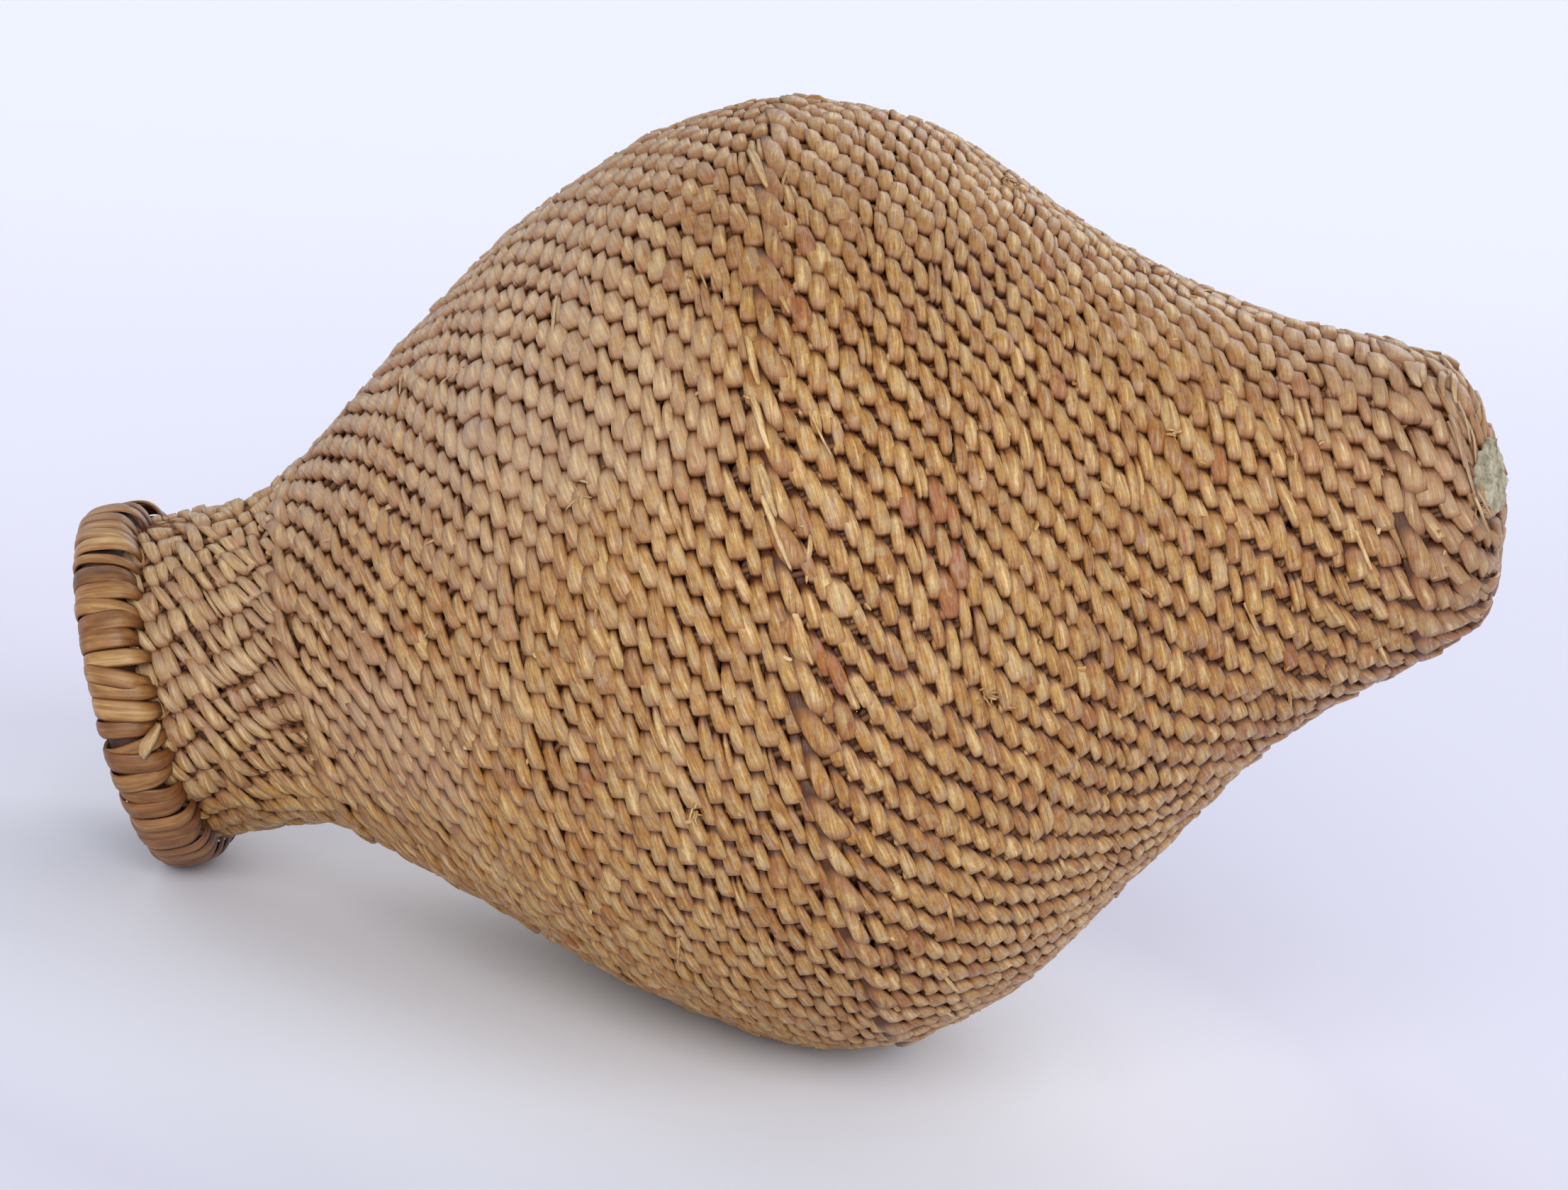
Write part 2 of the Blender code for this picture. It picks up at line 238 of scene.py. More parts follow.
class Finish:
    """A material under the maker's hands."""

    def __init__(self, name):
        self.material = bpy.data.materials.new(name)
        self.material.use_nodes = True
        self.tree = self.material.node_tree
        self.tree.nodes.clear()

    def add(self, kind, settings=None, sockets=None, out=0):
        node = self.tree.nodes.new(kind)
        for key, value in (settings or {}).items():
            if key == "stops":
                while len(node.color_ramp.elements) < len(value):
                    node.color_ramp.elements.new(1.0)
                for element, (at, colour) in zip(node.color_ramp.elements, value):
                    element.position, element.color = at, rgb(*colour)
            else:
                setattr(node, key, value)
        for key, value in (sockets or {}).items():
            if isinstance(value, Value):
                self.tree.links.new(value.socket, node.inputs[key])
            else:
                node.inputs[key].default_value = value
        return Value(self, node.outputs[out]) if len(node.outputs) else None

    def ramp(self, value, *stops):
        return self.add("ShaderNodeValToRGB", {"stops": stops}, {0: value})

    def tinted(self, colour, tint, share):
        return self.add("ShaderNodeMix", {"data_type": "RGBA"}, {0: share, 6: colour, 7: rgb(*tint)}, out=2)

    def scaled(self, vector, scale, shift=(0, 0, 0)):
        return self.add("ShaderNodeMapping", {}, {"Vector": vector, "Location": shift, "Scale": scale})

    def noise(self, vector, scale, detail=3.0, roughness=0.5):
        return self.add("ShaderNodeTexNoise", {},
                        {"Vector": vector, "Scale": scale, "Detail": detail, "Roughness": roughness})

    def place(self):
        return self.add("ShaderNodeTexCoord", out="Object")

    def attribute(self, name):
        return self.add("ShaderNodeAttribute", {"attribute_name": name}, out="Vector")

    def parts(self, vector):
        split = self.add("ShaderNodeSeparateXYZ", {}, {0: vector}).socket.node
        return [Value(self, socket) for socket in split.outputs]

    def done(self, colour, roughness, height=None, depth=0.0002, strength=0.6, **constants):
        sockets = {"Base Color": colour, "Roughness": roughness, **constants}
        if height is not None:
            sockets["Normal"] = self.add("ShaderNodeBump", {},
                                         {"Height": height, "Distance": depth, "Strength": strength})
        shader = self.add("ShaderNodeBsdfPrincipled", {}, sockets)
        self.add("ShaderNodeOutputMaterial", {}, {"Surface": shader})
        return self.material


# Coloured deep brown, partly as painted shade for the pits that the rods show in
peeled = Finish("peeled_rod")
bark = peeled.noise(peeled.scaled(peeled.place(), (90, 90, 90)), 1.0, 4)
bark_colour = peeled.ramp(bark, (0.3, (82, 44, 18)), (0.7, (132, 88, 46)))
warps.data.materials.append(peeled.done(bark_colour, bark * 0.2 + 0.6, bark))
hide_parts(*[f"warp_{i:02d}" for i in range(1, 25)])
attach(warps, "root")

# ---- Twined walls
# Split willow, about 3 mm wide, twined in pairs round two warps at a time. Each
# stitch comes out from under the one before it, widens over the warps, and ends
# blunt where it turns in. The next course is shifted by one warp, like brickwork.


def shaped_strand(name, rings, around=8):
    """A short strand from a UV sphere whose rings are set one by one:
    (place along, half width, half thickness, shift sideways, height)."""
    bpy.ops.object.select_all(action="DESELECT")
    bpy.ops.mesh.primitive_uv_sphere_add(segments=around, ring_count=len(rings) - 1, radius=1.0,
                                         rotation=(0, math.pi / 2, 0))
    strand = bpy.context.object
    strand.name = name
    bpy.ops.object.transform_apply(location=True, rotation=True, scale=True)
    old = [-math.cos(math.pi * i / (len(rings) - 1)) for i in range(len(rings))]
    ring_of = [min(range(len(rings)), key=lambda i: abs(v.co.x - old[i])) for v in strand.data.vertices]
    for i, (at, wide, thick, aside, up) in enumerate(rings):
        for vertex, ring in zip(strand.data.vertices, ring_of):
            vertex.select = ring == i
        for part in list(strand.data.edges) + list(strand.data.polygons):
            part.select = all(ring_of[v] == i for v in part.vertices)
        size = math.sin(math.pi * i / (len(rings) - 1))
        bpy.ops.object.mode_set(mode="EDIT")
        bpy.ops.mesh.select_mode(type="VERT")
        if size > 0.01:
            bpy.ops.transform.resize(value=(1, wide / size, thick / size), center_override=(old[i], 0, 0))
        bpy.ops.transform.translate(value=(at - old[i], aside, up))
        bpy.ops.object.mode_set(mode="OBJECT")
    return strand


# Along the span of two warps; widths and shifts in course pitches, thickness and height in mm.
# Over the shoulder a stitch is a long block whose toe is its widest part; past the belly it is
# fuller in the middle, and blunt towards the base; at the neck it is a short knuckle. A heel is
# the bit of the second strand that shows beside some toes.
block_stitch = shaped_strand("block_stitch", [
    (-0.14, 0, 0, 0.18, -2.2), (-0.05, 0.28, 0.45, 0.18, -1.35), (0.06, 0.38, 0.62, 0.16, -0.70),
    (0.22, 0.46, 0.76, 0.11, -0.18), (0.48, 0.55, 0.82, 0.01, 0.05), (0.76, 0.62, 0.84, -0.06, 0.05),
    (0.92, 0.62, 0.80, -0.10, -0.15), (1.00, 0.54, 0.66, -0.12, -0.75), (1.03, 0, 0, -0.12, -1.5)])
seed_stitch = shaped_strand("seed_stitch", [
    (-0.14, 0, 0, -0.16, -2.2), (-0.05, 0.30, 0.45, -0.16, -1.35), (0.06, 0.42, 0.64, -0.14, -0.65),
    (0.24, 0.54, 0.78, -0.09, -0.10), (0.50, 0.62, 0.86, -0.02, 0.05), (0.74, 0.61, 0.86, 0.04, 0.0),
    (0.90, 0.53, 0.78, 0.07, -0.30), (0.98, 0.42, 0.62, 0.08, -0.85), (1.03, 0, 0, 0.09, -1.6)])
blunt_stitch = shaped_strand("blunt_stitch", [
    (-0.14, 0, 0, -0.08, -2.2), (-0.05, 0.42, 0.50, -0.08, -1.35), (0.05, 0.52, 0.68, -0.07, -0.65),
    (0.20, 0.58, 0.80, -0.05, -0.10), (0.50, 0.61, 0.86, 0.00, 0.05), (0.80, 0.60, 0.86, 0.03, 0.0),
    (0.93, 0.57, 0.78, 0.05, -0.25), (1.00, 0.50, 0.62, 0.06, -0.85), (1.03, 0, 0, 0.06, -1.5)])
knuckle = shaped_strand("knuckle", [
    (-0.14, 0, 0, -0.20, -2.6), (-0.02, 0.34, 0.55, -0.18, -1.6), (0.16, 0.48, 0.74, -0.10, -0.7),
    (0.38, 0.56, 0.88, -0.03, -0.1), (0.62, 0.58, 0.92, 0.03, 0.0), (0.82, 0.52, 0.86, 0.08, -0.45),
    (0.96, 0.40, 0.66, 0.12, -1.3), (1.04, 0, 0, 0.14, -2.3)])
rope_stitch = shaped_strand("rope_stitch", [
    (-0.44, 0, 0, -0.54, -1.6), (-0.32, 0.24, 0.36, -0.48, -0.9), (-0.10, 0.33, 0.55, -0.35, -0.20),
    (0.18, 0.39, 0.70, -0.18, 0.15), (0.48, 0.44, 0.78, 0.02, 0.25), (0.76, 0.46, 0.80, 0.20, 0.2),
    (0.96, 0.42, 0.72, 0.32, 0.0), (1.08, 0.32, 0.55, 0.37, -0.6), (1.12, 0, 0, 0.39, -1.3)])
heel = shaped_strand("heel", [
    (0.66, 0, 0, -0.30, -1.0), (0.74, 0.18, 0.38, -0.40, -0.50), (0.86, 0.26, 0.48, -0.50, -0.32),
    (0.97, 0.23, 0.42, -0.52, -0.60), (1.05, 0, 0, -0.50, -1.3)], around=6)
inner_stitch = shaped_strand("inner_stitch", [
    (-0.12, 0, 0, 0.25, 0.9), (0.10, 0.46, 0.6, 0.15, 0.2), (0.50, 0.58, 0.80, 0.0, 0.0),
    (0.90, 0.46, 0.6, -0.15, 0.2), (1.12, 0, 0, -0.25, 0.9)], around=6)
splinter = shaped_strand("splinter", [
    (0.0, 0, 0, 0, 0), (0.015, 0.40, 0.40, 0, 0), (0.30, 0.50, 0.50, 0.06, 0), (0.65, 0.42, 0.46, -0.05, 0),
    (0.93, 0.26, 0.34, 0.02, 0), (1.0, 0, 0, 0.05, 0)], around=6)
SQUARED = 0.18


def pattern(strand, square=0.0):
    """A modelled strand as arrays to copy: points, faces, and how near its edge each point is.
    A split strand has flattened sides, so its corners are drawn out a little."""
    points = np.array([v.co[:] for v in strand.data.vertices])
    faces = [list(p.vertices) for p in strand.data.polygons]
    edge = np.zeros(len(points))
    for x in np.unique(points[:, 0].round(4)):
        ring = np.abs(points[:, 0] - x) < 1e-4
        off = points[ring, 1:] - points[ring, 1:].mean(0)
        wide = np.abs(off[:, 0]).max()
        if wide > 1e-5:
            turned = np.arctan2(off[:, 1] / np.abs(off[:, 1]).max(), off[:, 0] / wide)
            points[ring, 1:] += off * square * np.sin(2 * turned)[:, None] ** 2
            edge[ring] = np.abs(off[:, 0]) / wide
    bpy.data.objects.remove(strand)
    return points, faces, edge


block_stitch, seed_stitch, blunt_stitch, knuckle, rope_stitch = (
    pattern(strand, SQUARED) for strand in (block_stitch, seed_stitch, blunt_stitch, knuckle, rope_stitch))
heel, inner_stitch, splinter = pattern(heel), pattern(inner_stitch), pattern(splinter)


def batch(faces, arc, bearing, depth, grain, look):
    """Copies of a strand, as faces, places and the two vectors that its finish reads: grain, the
    place along and across it in mm and its own number, and look, its tone, its painted shade and the
    share of its length."""
    level = np.zeros_like(depth)
    number = chance.random((len(level), 1)) * 97
    grain = np.stack([part + level for part in (*grain, number)], -1)
    look = np.stack([part + level for part in look], -1)
    return faces, on_skin(arc.ravel(), bearing.ravel(), depth.ravel()).reshape(grain.shape), grain, look


FIRST_ARC, LAST_ARC, LEAST_RADIUS = 0.5 * MM, ARC[-1] - 0.4 * MM, 3 * MM
# How strongly the painted shade darkens the ends and sides of the stitches, from the neck to the base
CRISP_AT = (0.045, 0.06, 0.10, 0.13, 0.17, 0.25, 0.31)
CRISP = (0.5, 1.0, 0.85, 0.8, 1.12, 1.12, 1.3)
# The depths between which painted shade darkens the pits, and where the inner stitches begin
PIT_TOP, PIT_SPAN, INNER_TOP = 1.0 * MM, 0.9 * MM, 2.6 * MM


def laid(shape, s):
    """Copies of a stitch along the courses, one for each row of values."""
    points, faces, edge = shape
    col = {key: np.asarray(value, float)[:, None] for key, value in s.items()}
    x = 0.5 + (points[None, :, 0] - 0.5) * col["long"]
    span = col["end"] - col["start"]
    bearing = col["start"] + span * x
    along = along_of(col["arc"])
    around = np.maximum(radius(along), LEAST_RADIUS)
    across = points[None, :, 1] * col["pitch"] * col["wide"]
    sideways = across + col["aside"] + np.tan(col["slant"]) * span * around * (x - 0.5)
    arc = col["arc"] + sideways + wander(np.broadcast_to(col["arc"], bearing.shape), bearing)
    arc = np.clip(arc, FIRST_ARC, LAST_ARC)
    depth = (col["depth"] - points[None, :, 2] * MM * col["thick"] - col["proud"] + col["roll"] * sideways
             - swell(arc, bearing))
    # Painted shade: darker at the head and the toe where the stitch turns in, along its sides where it meets its
    # neighbours, and deep in the pits
    head = 0.9 * np.clip(1 - (points[:, 0] + 0.04) / 0.30, 0, 1)
    toe = 0.5 * np.clip((points[:, 0] - 0.86) / 0.14, 0, 1)
    sides = 0.50 * edge**2 * (1 - 0.5 * np.clip((points[:, 0] - 0.4) / 0.4, 0, 1))
    pit = 0.8 * np.clip((depth - PIT_TOP) / PIT_SPAN, 0, 1) * (depth < INNER_TOP)
    painted_shade = np.clip(head + toe + sides, 0, 1)[None] * np.interp(along, CRISP_AT, CRISP) + pit
    return batch(faces, arc, bearing, depth, (x * span * around / MM, across / MM), (col["tone"], painted_shade, x))


def strewn(shape, s):
    """Copies laid free on the skin: heading 0 runs round the basket, 90 degrees runs to the base.
    Each lifts by its own heights at its start, middle and end."""
    points, faces, edge = shape
    col = {key: np.asarray(value, float)[:, None] for key, value in s.items()}
    x = points[None, :, 0]
    run, off = x * col["long"], points[None, :, 1] * col["wide"]
    arc = col["arc"] + run * np.sin(col["heading"]) + off * np.cos(col["heading"])
    arc = np.clip(arc, FIRST_ARC, LAST_ARC)
    around = np.maximum(radius(along_of(arc)), LEAST_RADIUS)
    bearing = col["bearing"] + (run * np.cos(col["heading"]) - off * np.sin(col["heading"])) / around
    arc = np.clip(arc + wander(arc, bearing), FIRST_ARC, LAST_ARC)
    lift = col["first"] * (1 - x) ** 2 + col["middle"] * 2 * x * (1 - x) + col["last"] * x ** 2
    depth = -lift - points[None, :, 2] * col["thick"] - swell(arc, bearing)
    # Painted shade along the edges of each copy
    return batch(faces, arc, bearing, depth, (run / MM, off / MM), (col["tone"], 0.25 * edge[None] ** 3, 0.4))


def gathered(name, batches, material, slot, *nodes):
    """One piece made of many copies."""
    loops, counts, base = [], [], 0
    for faces, places, _, _ in batches:
        n, k = places.shape[:2]
        loops.append((np.concatenate(faces)[None] + base + np.arange(n)[:, None] * k).ravel())
        counts.append(np.tile([len(f) for f in faces], n))
        base += n * k
    loops, counts = np.concatenate(loops), np.concatenate(counts)
    mesh = bpy.data.meshes.new(name)
    mesh.vertices.add(base)
    mesh.vertices.foreach_set("co", np.concatenate([b[1].ravel() for b in batches]))
    mesh.loops.add(len(loops))
    mesh.loops.foreach_set("vertex_index", loops.astype(np.int32))
    mesh.polygons.add(len(counts))
    mesh.polygons.foreach_set("loop_start", np.concatenate(([0], np.cumsum(counts)[:-1])).astype(np.int32))
    mesh.polygons.foreach_set("loop_total", counts.astype(np.int32))
    mesh.update(calc_edges=True)
    for i, key in ((2, "grain"), (3, "look")):
        layer = mesh.attributes.new(key, "FLOAT_VECTOR", "POINT")
        layer.data.foreach_set("vector", np.concatenate([b[i].ravel() for b in batches]))
    mesh.materials.append(material)
    piece = bpy.data.objects.new(name, mesh)
    bpy.context.scene.collection.objects.link(piece)
    bpy.ops.object.select_all(action="DESELECT")
    piece.select_set(True)
    bpy.context.view_layer.objects.active = piece
    bpy.ops.object.mode_set(mode="EDIT")
    bpy.ops.mesh.select_all(action="SELECT")
    bpy.ops.mesh.normals_make_consistent(inside=False)
    bpy.ops.object.mode_set(mode="OBJECT")
    bpy.ops.object.shade_smooth()
    if nodes:
        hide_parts(*nodes)
    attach(piece, "root")


def twined_strands(n):
    """Widths and tones of n stitches: two strands take turns, and a new splint is let in
    every ten to twenty-five stitches."""
    width, tone = np.zeros(n), np.zeros(n)
    for strand in (0, 1):
        i = strand - 2 * int(chance.integers(0, 12))
        while i < n:
            run = 2 * int(chance.integers(5, 14))
            picked = np.arange(max(i, strand), min(i + run, n), 2)
            width[picked] = np.clip(chance.normal(1.0, 0.16), 0.68, 1.38)
            tone[picked] = np.clip(chance.normal(0.50, 0.13), 0.15, 0.95)
            i += run
    return width, tone


# Lean in degrees and width of the stitches, from the neck to the tip
LEAN_AT = (0.02, 0.03, 0.049, 0.055, 0.07, 0.10, 0.14, 0.17, 0.18, 0.20, 0.25, 0.27, 0.29, 0.305, 0.312, 0.317)
LEAN = (13, 20, 24, 26, 26, 17, 13, 12, 7, 5, 4, 3, 4, 8, 15, 26)
WIDE_AT = (0.02, 0.05, 0.06, 0.10, 0.125, 0.15, 0.255, 0.27, 0.29, 0.305, 0.312)
WIDE = (1.08, 1.08, 1.08, 1.06, 1.02, 1.0, 1.0, 0.97, 0.95, 0.99, 1.15)
# Reddish stitches, where a splint kept some of its bark: distance from the mouth and bearing
BARKY = ((0.2045, -94.0), (0.1795, -89.7), (0.2066, -104.7), (0.1795, -130.9), (0.2681, -62.1), (0.1800, -143.4),
         (0.2083, -101.4), (0.2800, -140.0))
BARKY_SHARE, BARKY_REACH = 0.004, 1.7 * MM
FRONT_DEPTH, BACK_DEPTH, ROPE_DEPTH = 0.80 * MM, 2.75 * MM, 0.55 * MM


def course_stitches(course, number):
    """The stitches of one course, as columns of values."""
    rods, at = course["rods"], course["along"]
    before = np.roll(rods, 1)
    before[0] -= 2 * math.pi
    gaps = np.append((rods + before) / 2, (rods[0] + before[0]) / 2 + 2 * math.pi)
    first = 0 if at < NECK_END else number % 2
    start = gaps[first::2]
    m = len(rods) // 2
    start = start[:m] if first == 0 else np.append(start, gaps[1] + 2 * math.pi)[:m]
    end = np.roll(start, -1)
    end[-1] += 2 * math.pi
    middle = (start + end) / 2
    width, tone = twined_strands(m)
    u = lambda low, high: chance.uniform(low, high, m)
    loose = 2.3 if at < NECK_END else 1.5 if at > 0.26 else 1.0
    uneven = 0.13 + 0.10 * np.clip((at - 0.22) / 0.04, 0, 1)
    top_lean = np.clip((at - 0.25) / 0.03, 0, 1) * 3.5 * (1 + np.cos(middle + math.radians(45)))
    lean = np.interp(at, LEAN_AT, LEAN) + top_lean
    tone = np.clip(tone + u(-0.16, 0.16), 0.06, 1)
    tone = np.where(chance.random(m) < BARKY_SHARE, chance.uniform(0.02, 0.14, m), tone)
    for along, bearing in BARKY:
        if abs(at - along) < BARKY_REACH:
            tone[np.abs((middle - math.radians(bearing) + math.pi) % (2 * math.pi) - math.pi).argmin()] = 0.0
    return {"start": start, "end": end,
            "arc": np.full(m, course["arc"]) + loose * u(-0.22, 0.22) * MM,
            "pitch": np.full(m, course["pitch"]),
            "wide": width ** 0.8 * np.interp(at, WIDE_AT, WIDE) * (1 + u(-1, 1) * uneven),
            "long": 1 + u(-0.06, 0.09),
            "thick": width ** 0.4 * (1 + u(-0.14, 0.14)),
            "depth": np.full(m, FRONT_DEPTH),
            "proud": loose * u(-0.22, 0.28) * MM,
            "slant": np.radians(lean + loose * u(-5.5, 5.5)),
            "roll": np.tan(np.radians(u(-11, 11))),
            "tone": tone, "aside": np.zeros(m)}


def pick(values, chosen):
    return {key: column[chosen].copy() for key, column in values.items()}


SPLIT_SHARE = 0.045


def split(values):
    """Some stitches have split along the grain: each is laid as two narrow ones."""
    torn = chance.random(len(values["arc"])) < SPLIT_SHARE
    batches = [pick(values, ~torn)]
    cut = chance.uniform(0.3, 0.7, torn.sum())
    for side, size in ((-1, cut), (1, 1 - cut)):
        half = pick(values, torn)
        half["aside"] = half["aside"] + side * (1 - size) * 0.56 * half["pitch"] * half["wide"]
        half["wide"] = half["wide"] * size
        half["slant"] = half["slant"] + np.radians(chance.uniform(-2, 2, len(size)))
        half["proud"] = half["proud"] + chance.uniform(-0.15, 0.2, len(size)) * MM
        batches.append(half)
    return batches


def inside(front):
    """The same course as it shows inside the basket."""
    back = {key: column.copy() for key, column in front.items()}
    back["depth"][:] = BACK_DEPTH
    back["slant"] = -back["slant"]
    back["wide"] = np.full_like(back["wide"], 1.03)
    back["thick"] = np.ones_like(back["wide"])
    # Painted shade: the inner stitches are coloured darker, as they lie in the pits
    back["tone"] = np.roll(back["tone"], 1) * 0.6
    return back


SHAPES = ((NECK_END, knuckle), (BELLY_AT, block_stitch), (0.255, seed_stitch), (1, blunt_stitch))
HEELS_FROM, HEEL_SHARE = 0.030, 0.45
wall = {}
for number, course in enumerate(courses):
    if course["rope"]:
        continue
    front = course_stitches(course, number - belly)
    shape = next(form for end, form in SHAPES if course["along"] < end)
    batches = [laid(shape, part) for part in split(front) if len(part["arc"])]
    if course["along"] > HEELS_FROM:
        batches.append(laid(heel, pick(front, chance.random(len(front["arc"])) < HEEL_SHARE)))
    wall.setdefault(course["zone"], []).append(batches + [laid(inner_stitch, inside(front))])


def willow(name, weathered_and_lit_share=1.0):
    """Split willow weft: tan to ochre, streaked along the strand, with painted shade where it turns in and a painted
    highlight along its middle.
    """
    f = Finish(name)
    grain, where = f.attribute("grain"), f.place()
    tone, painted_shade, run = f.parts(f.attribute("look"))
    _, _, number = f.parts(grain)
    across, _, high = f.parts(where)
    own = f.add("ShaderNodeTexWhiteNoise", {"noise_dimensions": "1D"}, {"W": number})
    streak = f.noise(f.scaled(grain, (0.09, 1.25, 1)), 1.0, 4, 0.65)
    fibre = f.noise(f.scaled(grain, (0.22, 4.2, 1)), 1.0, 2)
    blotch = f.noise(f.scaled(grain, (0.32, 0.55, 1), (40, 9, 3)), 1.0, 3)
    hue = f.noise(f.scaled(grain, (0.30, 0.42, 1), (7, 71, 5)), 1.0, 3)
    cast = f.noise(f.scaled(grain, (0.22, 0.9, 1), (19, 33, 2)), 1.0, 3)
    flush = f.noise(f.scaled(grain, (0.45, 0.7, 1), (61, 5, 8)), 1.0, 2)
    region = f.noise(where, 14.0, 3)
    grit = f.noise(where, 1500.0, 2)

    # The wood itself, and the few stitches that kept their bark
    colour = f.ramp(tone * 0.8 + 0.1 + (streak - 0.5) * 1.8 + (fibre - 0.5) * 0.7 + (blotch - 0.5) * 1.1
                    + (region - 0.5) * 0.25 + (grit - 0.5) * 0.55,
                    (0.00, (134, 81, 42)), (0.15, (148, 96, 49)), (0.30, (155, 109, 56)),
                    (0.48, (174, 132, 72)), (0.68, (192, 152, 90)), (1.00, (224, 192, 138)))
    barky = ((0.16 - tone) * 8.0).kept(0, 1) * (blotch * 2.4 - 0.55).kept(0.15, 0.75)
    colour = f.tinted(colour, (158, 88, 44), barky)

    # Rust, khaki, ochre and grey drift over each strand, and some have a red flush
    rust = (0.44 - hue) * 5.5 + (own - 0.85) + (across - 0.12) * 9.0 * (own - 0.3)
    colour = f.tinted(colour, (178, 110, 62), rust.kept(0, 0.52))
    colour = f.tinted(colour, (180, 160, 114), ((hue - 0.53) * 5.5).kept(0, 0.52))
    colour = f.tinted(colour, (184, 134, 54), ((0.46 - cast) * 6.0).kept(0, 0.42))
    colour = f.tinted(colour, (170, 146, 130), ((cast - 0.55) * 6.0).kept(0, 0.40))
    flushed = ((own - 0.80) * 12.0).kept(0, 1) * ((flush - 0.50) * 8.0).kept(0, 1)
    colour = f.tinted(colour, (174, 92, 46), flushed * (0.36 + ((across - 0.10) * 9.0).kept(0, 0.32)))
    colour = f.tinted(colour, (176, 134, 108), ((run - 0.66) * 2.6).kept(0, 1) * (blotch * 1.8 - 0.5).kept(0, 0.6))

    # Weathered grey on the shoulder, partly painted light that makes it paler high up towards the neck, less at the
    # neck and greyer at the heads; painted shade on the crest, the tip and the collar
    weathered_and_lit = ((region - 0.5) * 1.8 + (high - 0.10) * 2.5 - across * 9.5 - 0.33).kept(0, 0.75)
    weathered_and_lit = weathered_and_lit - ((across + 0.08) * -12.0).kept(0, 0.45)
    weathered_and_lit = (weathered_and_lit + ((across - 0.10) * 8.0 + (high - 0.16) * 9.0).kept(0, 0.4)) * weathered_and_lit_share
    colour = f.tinted(colour, (195, 170, 144), weathered_and_lit.kept(0, 0.75))
    colour = f.tinted(colour, (150, 136, 124), weathered_and_lit.kept(0, 1) * ((0.50 - run) * 2.4).kept(0, 0.8))
    painted_dimming = (((high - 0.165) * 9.0).kept(0, 0.22) + ((across - 0.11) * 6.0).kept(0, 0.20)
            + ((across + 0.085) * -8.0).kept(0, 0.12))
    colour = f.tinted(colour, (108, 78, 52), painted_dimming)

    # A painted highlight along the middle of each strand, stronger towards the base, and painted shade, brown to
    # black, where a strand turns in, with the cracks along its grain also darkened
    painted_highlight = ((0.16 - painted_shade) * 6.0).kept(0, 1) * ((streak - 0.50) * 5.0).kept(0, 1)
    colour = f.tinted(colour, (236, 208, 156), painted_highlight * (0.45 + ((across - 0.09) * 9.0).kept(0, 0.4)))
    shade_and_cracks = painted_shade * 1.08 + (0.43 - streak).kept(0, 1) * 2.6 + (0.38 - fibre).kept(0, 1) * 1.6
    colour = f.tinted(colour, (140, 84, 42), (shade_and_cracks * 1.2).kept(0, 0.7))
    colour = f.tinted(colour, (66, 30, 10), ((shade_and_cracks - 0.45) * 1.45).kept(0, 0.9))
    roughness = (0.48 - own * 0.16 + (fibre - 0.5) * 0.5).kept(0.24, 0.85)
    return f.done(colour, roughness, streak * 0.6 + fibre * 0.4, 0.0004, 0.9, **{"Specular IOR Level": 0.36})


# The two big walls are made as two pieces each
willow_finish = willow("willow_weft")
for zone, rows in wall.items():
    if zone == "base_start":
        continue
    name, cut = zone.replace("_wall", "_weave"), len(rows) * 9 // 20
    pieces = {name: rows}
    if zone in ("upper_wall", "lower_wall"):
        pieces = {name + "_1": rows[:cut], name + "_2": rows[cut:]}
    for name, part in pieces.items():
        gathered(name, [copies for row in part for copies in row], willow_finish, "willow_weft", zone)

# ---- Three-strand courses
# At five places three strands are twined instead of two, so each float is longer
# and lies aslant over the one before it, like a rope laid round the body.

# Lean in degrees, length and width
ROPE_LAY = {"neck_course": (8, 1.05, 1.1), "throat_course": (2.5, 1.25, 1.15), "shoulder_course": (14, 1.12, 1.0),
            "belly_course": (0, 1.12, 1.2), "foot_course": (-1, 1.12, 1.38)}
course_finish = willow("course_weft", 0.9)
for number, course in enumerate(courses):
    if not course["rope"]:
        continue
    zone = course["zone"]
    front = course_stitches(course, number - belly)
    m = len(front["arc"])
    aslant, drawn, broad = ROPE_LAY[zone]
    front["slant"] = np.radians(aslant + chance.uniform(-4, 4, m))
    front["long"] = drawn + chance.uniform(-0.12, 0.18, m)
    front["wide"] = front["wide"] * broad
    front["depth"][:] = ROPE_DEPTH
    front["proud"] = chance.uniform(-0.1, 0.40, m) * MM
    front["arc"] = front["arc"] + (chance.uniform(-0.35, 0.35, m) - 0.3 * (zone == "foot_course")) * MM
    shape = block_stitch if zone == "shoulder_course" else rope_stitch
    gathered(zone + "_weave", [laid(shape, front), laid(inner_stitch, inside(front))],
             course_finish, "course_weft", zone)

# ---- Base start
# The start of the work: coarse, worn weft drawn round the crossed ends of the
# warps, closed at the tip.

gathered("start_weave", [copies for row in wall["base_start"] for copies in row],
         willow("start_weft", 0.7), "start_weft", "base_start")

# ---- Loose ends
# Where a splint was let in or has worn through, its cut end stands out of the
# pit beside it, and some split lengths lie over two or three stitches.

SPLINT_KEYS = ("arc", "bearing", "heading", "long", "wide", "thick", "first", "middle", "last", "tone")


def splints(values):
    """Columns from rows: distance from the mouth, bearing and heading in degrees, length, width,
    thickness and three heights in mm, and tone."""
    rows = {key: np.array([row[i] for row in values], float) for i, key in enumerate(SPLINT_KEYS)}
    rows["arc"] = arc_of(rows["arc"])
    for key in ("bearing", "heading"):
        rows[key] = np.radians(rows[key])
    for key in ("long", "wide", "thick", "first", "middle", "last"):
        rows[key] = rows[key] * MM
    return rows


